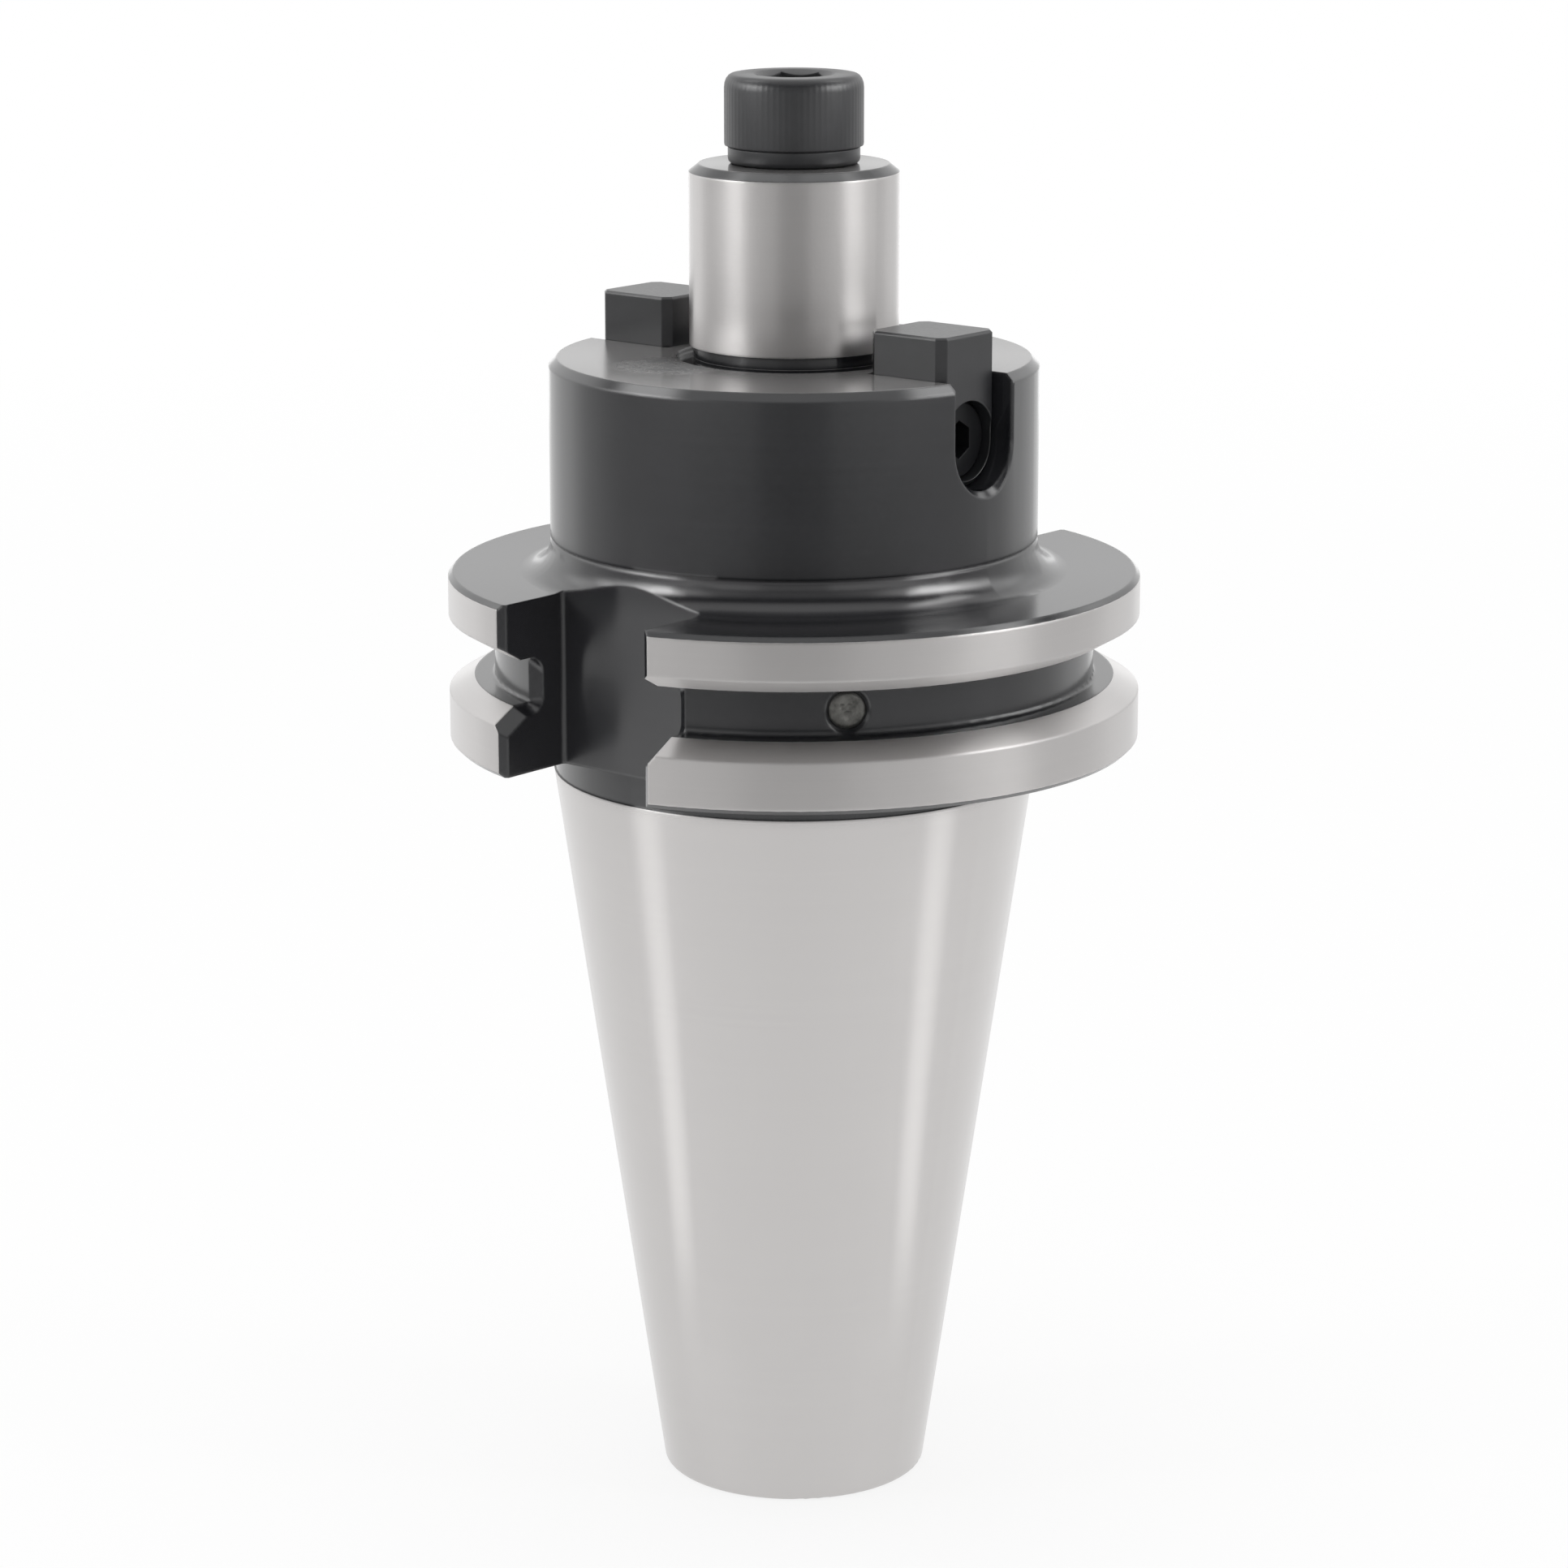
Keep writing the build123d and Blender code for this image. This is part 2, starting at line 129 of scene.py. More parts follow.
# The studio in metres and degrees. The camera's sensor and lens are in millimetres, and its shift
# is a share of the sensor's width.
FLOOR_RADIUS = 4.0
FLOOR_SIDES = 96
FLOOR_GAP = 0.05 * MM
MIDDLE_HEIGHT = 0.08
SIDE_LAMP_ANGLE = 74
SIDE_LAMP_DISTANCE, SIDE_LAMP_HEIGHT = 0.75, 0.28
SIDE_LAMP_WIDTH, SIDE_LAMP_LENGTH = 0.16, 0.6
TOP_LAMP_HEIGHT, TOP_LAMP_SIZE = 0.9, 0.7
BACK_CARD_ANGLE = 169
FLOOR_CARD_HALF_ANGLE = 9
BACK_CARD_HALF_ANGLE = 8
CAMERA_SENSOR, CAMERA_LENS, CAMERA_SHIFT = 36.0, 111.58, -0.0064
CAMERA_NEAR, CAMERA_FAR = 0.01, 20.0

# Outlines of what only reflections see: distance from the axis and height, in metres
FLOOR_CARD_OUTLINE = [(0.05, 0.001), (0.26, 0.001)]
BACK_CARD_OUTLINE = [(0.6, 0.001), (0.6, 0.12)]
DOME_OUTLINE = [(0.284, 0.0012), (0.3, 0.01), (0.3, 0.25), (0.26, 0.4), (0.15, 0.5), (0.0, 0.53)]
DOME_HALF_ANGLE = 150
REFLECTOR_STEPS = 48
# Where angles up the dome are taken from, in millimetres over the floor
EYE_HEIGHT = 100

# Brightness of what reflections see, by how far round it is from the camera, where 1 is 180
# degrees: level with the arbor, and above it, where the table has an eighth of the real brightness
DOME = [
    (0.0, 0.1), (0.06, 0.13), (0.17, 0.24), (0.28, 0.3), (0.39, 0.36), (0.5, 0.48), (0.61, 0.7),
    (0.69, 1.0)]
ABOVE = [
    (0.0, 0.05), (0.1, 0.05), (0.2, 0.08), (0.3, 0.22), (0.34, 0.95), (0.43, 0.95), (0.48, 0.6),
    (0.6, 0.2), (0.75, 0.04)]
ABOVE_SCALE = 8
# The same for the cards, from the middle at 0 to an end at 0.5, with half of the real brightness
FLOOR_CARD = [(0.0, 0.68), (0.4, 0.6), (0.5, 0.5)]
BACK_CARD = [(0.0, 0.7), (0.5, 0.6)]
CARD_SCALE = 2


class SteelSettings(bpy.types.PropertyGroup):
    """Bare ground steel: taper, rims, groove walls and pilot."""
    color: FloatVectorProperty(
        name="Colour", description="Colour of the bare ground steel",
        subtype="COLOR", size=3, min=0, max=1, default=(0.61, 0.594, 0.587))
    roughness: FloatProperty(
        name="Roughness", description="Roughness of the ground steel", min=0, max=1, default=0.3)
    line_depth: FloatProperty(
        name="Grinding depth",
        description="Depth of the fine lines that run round the ground faces",
        unit="LENGTH", min=0, default=1.2e-6)


class OxideSettings(bpy.types.PropertyGroup):
    """Black oxide on the arbor, the keys and the screws."""
    color: FloatVectorProperty(
        name="Colour", description="Colour of the black oxide",
        subtype="COLOR", size=3, min=0, max=1, default=(0.0126, 0.0130, 0.0150))
    roughness: FloatProperty(
        name="Roughness", description="Roughness of the blackened faces",
        min=0, max=1, default=0.15)
    line_depth: FloatProperty(
        name="Turning depth", description="Depth of the turning lines under the black oxide",
        unit="LENGTH", min=0, default=1.5e-6)


class LockScrewSettings(bpy.types.PropertyGroup):
    """Sizes of the lock screw."""
    head_radius: FloatProperty(
        name="Head radius", description="Radius over the knurl", unit="LENGTH", default=6.3 * MM)
    head_height: FloatProperty(
        name="Head height", description="From the pilot's end to the top of the head",
        unit="LENGTH", default=8.0 * MM)
    collar_radius: FloatProperty(
        name="Collar radius", description="Radius of the plain collar under the knurl",
        unit="LENGTH", default=5.975 * MM)
    collar_height: FloatProperty(
        name="Collar height", description="Height of the plain collar",
        unit="LENGTH", default=1.65 * MM)
    crown: FloatProperty(
        name="Crown", description="How far the rounded edge reaches down the knurl",
        unit="LENGTH", default=1.2 * MM)
    teeth: IntProperty(name="Teeth", description="Number of teeth in the knurl", min=12, default=72)
    tooth_depth: FloatProperty(
        name="Tooth depth", description="Depth of the knurl", unit="LENGTH", default=0.032 * MM)
    hex_width: FloatProperty(
        name="Socket", description="Width of the hexagon socket across its flats",
        unit="LENGTH", default=6.0 * MM)
    hex_depth: FloatProperty(
        name="Socket depth", description="Depth of the hexagon socket",
        unit="LENGTH", default=4.5 * MM)
    thread_radius: FloatProperty(
        name="Thread radius", description="Outer radius of the thread",
        unit="LENGTH", default=3.98 * MM)
    thread_depth: FloatProperty(
        name="Thread depth", description="Depth of the thread", unit="LENGTH", default=0.68 * MM)
    thread_pitch: FloatProperty(
        name="Pitch", description="Distance between two turns of the thread",
        unit="LENGTH", default=1.25 * MM)
    length: FloatProperty(
        name="Length", description="Length under the head", unit="LENGTH", default=25.0 * MM)


class PlugSettings(bpy.types.PropertyGroup):
    """Sizes of the plug in the gripper groove."""
    radius: FloatProperty(
        name="Radius", description="Radius of the plug", unit="LENGTH", default=1.65 * MM)
    length: FloatProperty(
        name="Length", description="Length of the plug", unit="LENGTH", default=3.0 * MM)
    dent_depth: FloatProperty(
        name="Dent depth", description="Depth of the dents in its face",
        unit="LENGTH", default=0.12 * MM)
    color: FloatVectorProperty(
        name="Colour", description="Colour of the plug's bare face",
        subtype="COLOR", size=3, min=0, max=1, default=(0.17, 0.168, 0.158))


class StudioSettings(bpy.types.PropertyGroup):
    """Floor, lamps and camera."""
    floor_color: FloatVectorProperty(
        name="Floor", description="Colour of the floor",
        subtype="COLOR", size=3, min=0, max=1, default=(0.95, 0.95, 0.95))
    surround: FloatProperty(
        name="Surround", description="Strength of the white surround that lights the arbor",
        min=0, default=0.8)
    side_level: FloatProperty(
        name="Side lamps", description="Power of each tall lamp beside the arbor",
        unit="POWER", min=0, default=0.74)
    top_level: FloatProperty(
        name="Top lamp", description="Power of the lamp above the arbor",
        unit="POWER", min=0, default=1.6)
    turn: FloatProperty(
        name="Turn", description="Direction of the camera round the arbor", subtype="ANGLE",
        default=math.radians(39.81))
    pitch: FloatProperty(
        name="Pitch", description="How far the camera looks down", subtype="ANGLE",
        default=math.radians(13.841))
    distance: FloatProperty(
        name="Distance", description="From the arbor's axis to the camera, level with the floor",
        unit="LENGTH", default=438.37 * MM)
    height: FloatProperty(
        name="Height", description="Height of the camera over the floor", unit="LENGTH",
        default=174.18 * MM)


class ArborSettings(bpy.types.PropertyGroup):
    """All that a user would change."""
    steel: PointerProperty(name="Steel", description="Bare ground steel", type=SteelSettings)
    oxide: PointerProperty(name="Black oxide", description="Black oxide finish", type=OxideSettings)
    screw: PointerProperty(
        name="Lock screw", description="Lock screw sizes", type=LockScrewSettings)
    plug: PointerProperty(name="Plug", description="Groove plug sizes", type=PlugSettings)
    studio: PointerProperty(
        name="Studio", description="Floor, lamps and camera", type=StudioSettings)


class Field:
    """A socket's value over the surface, on which Python's operators add Math nodes."""

    def __init__(self, nodes, socket):
        self.nodes = nodes
        self.socket = socket

    def math(self, operation, *values):
        return self.nodes.node("Math", {"operation": operation}, dict(enumerate(values)))

    def __add__(self, other):
        return self.math("ADD", self, other)

    def __radd__(self, other):
        return self.math("ADD", other, self)

    def __sub__(self, other):
        return self.math("SUBTRACT", self, other)

    def __rsub__(self, other):
        return self.math("SUBTRACT", other, self)

    def __mul__(self, other):
        return self.math("MULTIPLY", self, other)

    def __rmul__(self, other):
        return self.math("MULTIPLY", other, self)

    def __truediv__(self, other):
        return self.math("DIVIDE", self, other)

    def __rtruediv__(self, other):
        return self.math("DIVIDE", other, self)

    def __pow__(self, other):
        return self.math("POWER", self, other)

    def __rpow__(self, other):
        return self.math("POWER", other, self)

    def __abs__(self):
        return self.math("ABSOLUTE", self)

    def rises(self, start, end):
        """0 up to start and 1 from end on, or the other way round where end is the lower."""
        inputs = {"Value": self, "From Min": start, "From Max": end}
        return self.nodes.node("MapRange", {"clamp": True}, inputs)

    def between(self, low, high, soft):
        """1 between low and high, and 0 outside, with soft ends."""
        return self.rises(low - soft, low + soft) * self.rises(high + soft, high - soft)


class Nodes:
    """The node tree of a material or world, with its nodes made by one method."""

    def __init__(self, owner):
        owner.use_nodes = True
        self.tree = owner.node_tree
        self.tree.nodes.clear()

    def node(self, kind, settings=None, inputs=None, outputs=0):
        """Add one node and give its output, or several when outputs names more."""
        node = self.tree.nodes.new("ShaderNode" + kind)
        for name, value in (settings or {}).items():
            if name == "stops":
                self.set_stops(node.color_ramp, value)
            else:
                setattr(node, name, value)
        for key, value in (inputs or {}).items():
            if isinstance(value, Field):
                self.tree.links.new(value.socket, node.inputs[key])
            else:
                node.inputs[key].default_value = value
        if isinstance(outputs, tuple):
            return [Field(self, node.outputs[key]) for key in outputs]
        return Field(self, node.outputs[outputs]) if node.outputs else node

    @staticmethod
    def set_stops(ramp, stops):
        """Give a ramp its positions and greys."""
        while len(ramp.elements) < len(stops):
            ramp.elements.new(0.5)
        for element, (position, shade) in zip(ramp.elements, stops):
            element.position = position
            element.color = (shade, shade, shade, 1)


class Finish(Nodes):
    """A material being made, with places on the piece in millimetres from the frame's origin."""

    def __init__(self, name):
        self.material = bpy.data.materials.new(name)
        super().__init__(self.material)
        place = self.node("TexCoord", outputs="Object")
        self.place = self.node(
            "VectorMath", {"operation": "SCALE"}, {"Vector": place, "Scale": 1 / MM})
        self.x, self.y, self.z = self.node(
            "SeparateXYZ", inputs={"Vector": self.place}, outputs=("X", "Y", "Z"))
        self.radius = (self.x * self.x + self.y * self.y) ** 0.5
        self.turn = self.x.math("ARCTAN2", self.y, self.x)

    def vector(self, x, y, z):
        return self.node("CombineXYZ", inputs={"X": x, "Y": y, "Z": z})

    def noise(self, vector, scale, detail=3, roughness=0.5):
        inputs = {"Vector": vector, "Scale": scale, "Detail": detail, "Roughness": roughness}
        return self.node("TexNoise", {"noise_dimensions": "3D"}, inputs)

    def blend(self, amount, first, second):
        """One colour turning into another."""
        return self.node("Mix", {"data_type": "RGBA"}, {0: amount, 6: first, 7: second}, outputs=2)

    def ring_lines(self, per_mm, stretch):
        """Lines that run round the axis, on walls and on faces alike, broken up by the stretch."""
        along = (self.z + self.radius) * per_mm
        return self.noise(self.vector(self.x * stretch, self.y * stretch, along), 1.0, 2, 0.6)

    def bump(self, height, distance, normal=None):
        """Relief of a height times a distance in metres, over another relief if one is given."""
        inputs = {"Height": height, "Distance": distance, "Strength": 1.0}
        if normal:
            inputs["Normal"] = normal
        return self.node("Bump", inputs=inputs)

    def surface(self, **inputs):
        """The shader itself, wired to the output."""
        names = {key.replace("_", " "): value for key, value in inputs.items()}
        shader = self.node("BsdfPrincipled", inputs=names)
        self.node("OutputMaterial", inputs={"Surface": shader})
        return self.material


def rgba(color, level=1.0):
    """A colour made darker or lighter, with its alpha."""
    return (color[0] * level, color[1] * level, color[2] * level, 1)


def new_piece(name, bm, material, body, sharp_angle=0.6):
    """Make a finished mesh a piece that rides on a body and takes its finish from a slot.

    It is shaded smooth, but for edges sharper than an angle in radians.
    """
    mesh = bpy.data.meshes.new(name)
    bm.normal_update()
    bm.to_mesh(mesh)
    bm.free()
    mesh.materials.append(material)
    piece = bpy.data.objects.new(name, mesh)
    bpy.context.scene.collection.objects.link(piece)
    for polygon in mesh.polygons:
        polygon.use_smooth = True
    mesh.set_sharp_from_angle(angle=sharp_angle)
    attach(piece, body)
    return piece


def dress(node, material):
    """Give a CAD node its finish, and leave its mesh as it is."""
    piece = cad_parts[node]
    piece.data.materials.clear()
    piece.data.materials.append(material)


def ground_zones(finish):
    """1 on the faces that are bare ground steel, and the same for the groove's upper wall alone."""
    r, z = finish.radius, finish.z
    taper = z.rises(GAGE_Z, GAGE_Z - 0.06)
    taper = taper * r.rises(END_FACE_INNER_RADIUS, END_FACE_INNER_RADIUS + 0.1)
    rims = r.rises(RIM_RADIUS - 0.06, RIM_RADIUS - 0.03)
    wall = abs(z - GROOVE_Z) - GROOVE_HALF_MOUTH + (RIM_RADIUS - r) * GROOVE_SLOPE
    walls = wall.between(-0.05, 0.05, 0.01) * r.rises(GROOVE_KNEE_RADIUS, GROOVE_KNEE_RADIUS + 0.05)
    side = r.between(PILOT_RADIUS - 0.03, PILOT_RADIUS + 0.1, 0.01)
    pilot = z.between(PILOT_FOOT_Z, PILOT_EDGE_Z, 0.03) * side
    ground = taper + rims + walls + pilot
    upper_wall = walls * (1 - rims) * z.rises(GROOVE_Z, GROOVE_Z + 0.1)
    return ground.math("MINIMUM", ground, 1.0), upper_wall


def dark_reflection_patch(finish, x, y, reach):
    """A patchy darkening about a place on the shoulder, 1 where it is strongest: a painted
    reflection of the pilot and rear key.
    """
    across, along = finish.x - x, finish.y - y
    near = (across * across + along * along).rises(reach * reach, reach * reach * 0.3)
    return near * finish.noise(finish.place, 0.7, 4, 0.7).rises(0.34, 0.52)


def arbor_finish(steel, oxide):
    """Ground steel and black oxide, each where the real arbor has it."""
    f = Finish("arbor_steel_finish")
    ground, upper_wall = ground_zones(f)
    black = 1 - ground
    fine = f.ring_lines(30.0, 0.012)
    broad = f.ring_lines(2.2, 0.02)
    cloud = f.noise(f.place, 0.12, 4, 0.6)
    speck = f.noise(f.place, 2.6, 5, 0.7)

    # Colour: steel, oxide, and the oxide worn thin on the shoulder and on the pilot's end, but left
    # dark in a painted reflection of the pilot and rear key
    steel_tone = 0.95 + (fine - 0.5) * 0.05 + (broad - 0.5) * 0.02 + (cloud - 0.5) * 0.06
    steel_color = f.blend(steel_tone, (0, 0, 0, 1), rgba(steel.color))
    oxide_tone = cloud.rises(0.3, 0.7) * 0.6 + speck * 0.4
    oxide_color = f.blend(oxide_tone, rgba(oxide.color, 0.7), rgba(oxide.color, 1.3))
    shoulder = f.z.between(FACE_Z - 0.02, FACE_Z + 0.02, 0.01)
    # Painted dark reflection of the pilot and rear key on the shoulder: darker, less metallic and
    # duller there, with flecks of worn oxide in it
    dark_reflection = dark_reflection_patch(f, *DARK_REFLECTION_PLACE, DARK_REFLECTION_REACH) * shoulder
    flecks = dark_reflection * f.noise(f.place, 2.4, 2).rises(0.6, 0.66) * f.radius.rises(13, 14)
    pilot_end = f.z.rises(PILOT_TOP_Z - 0.03, PILOT_TOP_Z - 0.02)
    worn = shoulder * (0.34 - dark_reflection * 0.33) + pilot_end * 0.3 + flecks * 0.5
    color = f.blend(ground + worn, oxide_color, steel_color)

    # Roughness: duller at the pilot's foot, on the groove's upper wall and in the drive slots
    black_rough = oxide.roughness + (speck - 0.5) * 0.06 + (broad - 0.5) * 0.03
    black_rough = black_rough + shoulder * 0.03 + dark_reflection * 0.28
    foot = f.z.rises(PILOT_FOOT_Z + 3.0, PILOT_FOOT_Z + 0.3)
    foot = foot * f.z.rises(PILOT_FOOT_Z - 0.2, PILOT_FOOT_Z)
    steel_rough = steel.roughness + (cloud - 0.5) * 0.05 + upper_wall * 0.15
    steel_rough = steel_rough + foot * (0.1 + speck * 0.2) - f.z.rises(GAGE_Z, GAGE_Z - 1) * 0.07
    slot = abs(f.x).rises(SLOT_HALF_WIDTH + 0.15, SLOT_HALF_WIDTH + 0.1)
    slot = slot * abs(f.y).rises(SLOT_FLOOR - 0.1, SLOT_FLOOR - 0.05)
    slot = slot * f.z.between(RIM_REAR_Z, RIM_FRONT_Z, 1)
    rough = ground * steel_rough + black * (black_rough + slot * 0.08)

    # Relief: softened edges, the pull stud's thread, the grinding and the turning
    edges = f.node("Bevel", {"samples": EDGE_SAMPLES}, {"Radius": EDGE_SOFTNESS * MM})
    helix = f.z / STUD_THREAD_PITCH + f.turn / (2 * math.pi)
    in_stud = f.radius.rises(STUD_THREAD_RADIUS + 0.1, STUD_THREAD_RADIUS + 0.05)
    in_stud = in_stud * f.z.rises(STUD_THREAD_END_Z + 3, STUD_THREAD_END_Z)
    thread = helix.math("PINGPONG", helix, 0.5) * in_stud
    threaded = f.bump(thread, STUD_THREAD_DEPTH * MM, normal=edges)
    mottle = speck * (1.6 + f.z.rises(FACE_Z, PILOT_FOOT_Z) * 7)
    ground_lines = f.bump((fine + mottle) * ground, steel.line_depth, normal=threaded)
    turning = (fine * 0.4 + broad) * black + speck * (0.25 - slot * 0.2)
    turned = f.bump(turning, oxide.line_depth, normal=ground_lines)
    return f.surface(
        Base_Color=color, Metallic=ground * (1 - upper_wall * 0.25) + worn, Roughness=rough,
        IOR=OXIDE_IOR, Anisotropic=GRIND_ANISOTROPY, Anisotropic_Rotation=GRIND_DIRECTION,
        Normal=turned)


def oxide_finish(name, oxide, roughness, grain, level=1.0, ior=1.75):
    """Black oxide on a small piece, with its own roughness, grain per mm, lightness and gloss."""
    f = Finish(name)
    cloud = f.noise(f.place, 0.35, 4, 0.6)
    speck = f.noise(f.place, grain, 4, 0.65)
    tone = cloud.rises(0.3, 0.7) * 0.6 + speck * 0.4
    color = f.blend(tone, rgba(oxide.color, 0.7 * level), rgba(oxide.color, 1.3 * level))
    rough = roughness + (speck - 0.5) * 0.12
    edges = f.node("Bevel", {"samples": EDGE_SAMPLES}, {"Radius": EDGE_SOFTNESS * 0.5 * MM})
    bumps = f.bump(speck + cloud, OXIDE_GRAIN_DEPTH * MM, normal=edges)
    return f.surface(Base_Color=color, Metallic=0.0, Roughness=rough, IOR=ior, Normal=bumps)


def plug_finish(plug):
    """Dull bare metal with a speckled face."""
    f = Finish("bare_plug_finish")
    speck = f.noise(f.place, 5.0, 5, 0.7)
    stain = f.noise(f.place, 0.9, 3, 0.6).rises(0.35, 0.65)
    color = f.blend(stain * 0.7 + speck * 0.3, rgba(plug.color, 0.45), rgba(plug.color, 1.35))
    rough = 0.42 + (speck - 0.5) * 0.2
    bumps = f.bump(speck, PLUG_GRAIN_DEPTH * MM)
    return f.surface(Base_Color=color, Metallic=0.85, Roughness=rough, Normal=bumps)


def ring(vertices, radius, height, tooth_depth=0.0):
    """Move a loop of vertices to a radius and height, every third one set back by the teeth."""
    for number, vertex in enumerate(vertices):
        reach = radius - (tooth_depth if number % 3 == 0 else 0.0)
        angle = 2 * math.pi * number / len(vertices)
        vertex.co = (reach * math.cos(angle), reach * math.sin(angle), height)


def next_loop(bm, vertices):
    """Extrude a closed loop of vertices, and give the new loop in the same order."""
    edges = [bm.edges.get((a, b)) for a, b in zip(vertices, vertices[1:] + vertices[:1])]
    index = {vertex: number for number, vertex in enumerate(vertices)}
    made = bmesh.ops.extrude_edge_only(bm, edges=edges)["geom"]
    new = [item for item in made if isinstance(item, bmesh.types.BMVert)]
    order = {}
    for vertex in new:
        for edge in vertex.link_edges:
            other = edge.other_vert(vertex)
            if other in index:
                order[index[other]] = vertex
    return [order[number] for number in range(len(vertices))]


def screw_head(bm, size, base):
    """The knurled head with its crown, plain collar and hexagon socket, built up from its foot."""
    top = base + size.head_height
    knurl_foot = base + size.collar_height
    shoulder = top - size.crown
    ring_foot = knurl_foot - COLLAR_RING_HEIGHT * MM
    ring_radius = size.collar_radius - COLLAR_RING_DEPTH * MM
    mouth = size.hex_width / 2 / math.cos(math.radians(30)) + SOCKET_CHAMFER * MM
    # Each step is a radius, a height and the depth of the teeth there
    steps = [(size.collar_radius - COLLAR_ROUND * MM, base, 0.0)]
    for turn in (30, 60, 90):
        a = math.radians(turn)
        steps.append((
            size.collar_radius - COLLAR_ROUND * MM * (1 - math.sin(a)),
            base + COLLAR_ROUND * MM * (1 - math.cos(a)), 0.0))
    steps += [
        (size.collar_radius, ring_foot, 0.0),
        (ring_radius, ring_foot + COLLAR_RING_SLOPE * MM, 0.0),
        (ring_radius, knurl_foot, 0.0),
        (size.head_radius - size.tooth_depth, knurl_foot, 0.0),
        (size.head_radius, knurl_foot + KNURL_LEAD * MM, size.tooth_depth),
        (size.head_radius, shoulder, size.tooth_depth)]
    for turn in (20, 40, 60, 75, 90):
        a = math.radians(turn)
        steps.append((
            size.head_radius - CROWN_WIDTH * MM * (1 - math.cos(a)),
            shoulder + size.crown * math.sin(a),
            size.tooth_depth * max(0.0, math.cos(a * 1.5))))
    steps.append((mouth, top, 0.0))

    loop = bmesh.ops.create_circle(bm, segments=3 * size.teeth, radius=size.head_radius)["verts"]
    ring(loop, *steps[0])
    foot = loop
    for step in steps[1:]:
        loop = next_loop(bm, loop)
        ring(loop, *step)
    socket(bm, loop, size, mouth, top)
    bmesh.ops.contextual_create(bm, geom=foot)


def socket(bm, rim, size, mouth, top):
    """The hexagon socket under its chamfered mouth, with the drill's point at its end."""
    flat = size.hex_width / 2
    loop = next_loop(bm, rim)
    for number, vertex in enumerate(loop):
        angle = 2 * math.pi * number / len(loop)
        turned = (angle + math.pi / 6) % (math.pi / 3) - math.pi / 6
        reach = flat / math.cos(turned)
        drop = SOCKET_CHAMFER_DEPTH * MM * (mouth - reach) / (mouth - flat)
        vertex.co = (reach * math.cos(angle), reach * math.sin(angle), top - drop)
    wall = next_loop(bm, loop)
    for vertex in wall:
        vertex.co.z = top - size.hex_depth
    tip = next_loop(bm, wall)
    ring(tip, 0.05 * MM, top - size.hex_depth - SOCKET_POINT * MM)
    bmesh.ops.contextual_create(bm, geom=tip)


def screw_thread(bm, size, base):
    """The thread under the head, swept as a helix, with a plain neck and a coned end."""
    root = size.thread_radius - size.thread_depth
    inner = root - THREAD_REACH * MM
    pitch = size.thread_pitch
    low = base - size.length + THREAD_START * MM
    turns = int((size.length - THREAD_SPARE * MM) / pitch)
    # The section of one turn: a radius, and a height as a share of the pitch
    outline = [
        (root, 0.0), (root, 0.12), (size.thread_radius, 0.45), (size.thread_radius, 0.58),
        (root, 0.91), (root, 1.0), (inner, 1.0), (inner, 0.0)]
    chain = [bm.verts.new((radius, 0, low + share * pitch)) for radius, share in outline]
    section = bm.faces.new(chain)
    bmesh.ops.spin(
        bm, geom=[section], cent=(0, 0, 0), axis=(0, 0, 1), dvec=(0, 0, pitch / THREAD_STEPS),
        angle=2 * math.pi * turns, steps=THREAD_STEPS * turns, use_merge=False)
    bmesh.ops.recalc_face_normals(bm, faces=bm.faces)

    # The neck, the end of the core under the thread, and its cone: foot, head and their radii
    tip = base - size.length
    neck = root + NECK_SWELL * MM
    for foot, head, foot_radius, head_radius in (
            (low + turns * pitch, base + NECK_REACH * MM, neck, neck),
            (low - CORE_REACH * MM, low + pitch, root, root),
            (tip, tip + SCREW_POINT * MM, root - SCREW_POINT * MM, root)):
        round_bar = bmesh.ops.create_cone(
            bm, cap_ends=True, segments=CORE_SIDES, radius1=foot_radius, radius2=head_radius,
            depth=head - foot)["verts"]
        bmesh.ops.translate(bm, verts=round_bar, vec=(0, 0, (foot + head) / 2))


class ARBOR_OT_body(bpy.types.Operator):
    """Give the arbor its ground and blackened faces"""
    bl_idname = "arbor.body"
    bl_label = "Arbor body"

    def execute(self, context):
        settings = context.scene.arbor
        dress("arbor_body", arbor_finish(settings.steel, settings.oxide))
        return {"FINISHED"}


class ARBOR_OT_keys(bpy.types.Operator):
    """Give the two drive keys their blackened finish"""
    bl_idname = "arbor.keys"
    bl_label = "Drive keys"

    def execute(self, context):
        material = oxide_finish(
            "blackened_key_finish", context.scene.arbor.oxide, roughness=0.32, grain=3.2)
        for node in ("drive_key_front", "drive_key_rear"):
            dress(node, material)
        return {"FINISHED"}


class ARBOR_OT_key_screws(bpy.types.Operator):
    """Give the two key screws their blackened finish, painted darker as shade in their counterbores
    """
    bl_idname = "arbor.key_screws"
    bl_label = "Key screws"

    def execute(self, context):
        # The heads are painted darker and given less gloss, as painted shade in the counterbores
        # they sit in
        material = oxide_finish(
            "key_screw_finish", context.scene.arbor.oxide,
            roughness=0.35, grain=4.5, level=0.6, ior=1.35)
        for node in ("key_screw_front", "key_screw_rear"):
            dress(node, material)
        return {"FINISHED"}


class ARBOR_OT_lock_screw(bpy.types.Operator):
    """Make the lock screw with its knurl, socket and thread"""
    bl_idname = "arbor.lock_screw"
    bl_label = "Lock screw"

    def execute(self, context):
        settings = context.scene.arbor
        size = settings.screw
        base = PILOT_TOP_Z * MM
        bm = bmesh.new()
        screw_head(bm, size, base)
        bmesh.ops.recalc_face_normals(bm, faces=bm.faces)
        screw_thread(bm, size, base)
        material = oxide_finish(
            "lock_screw_finish", settings.oxide, roughness=0.36, grain=3.8, level=1.1, ior=1.7)
        piece = new_piece("lock_screw_detailed", bm, material, "lock_screw", 0.7)
        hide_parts("lock_screw")
        return {"FINISHED"}


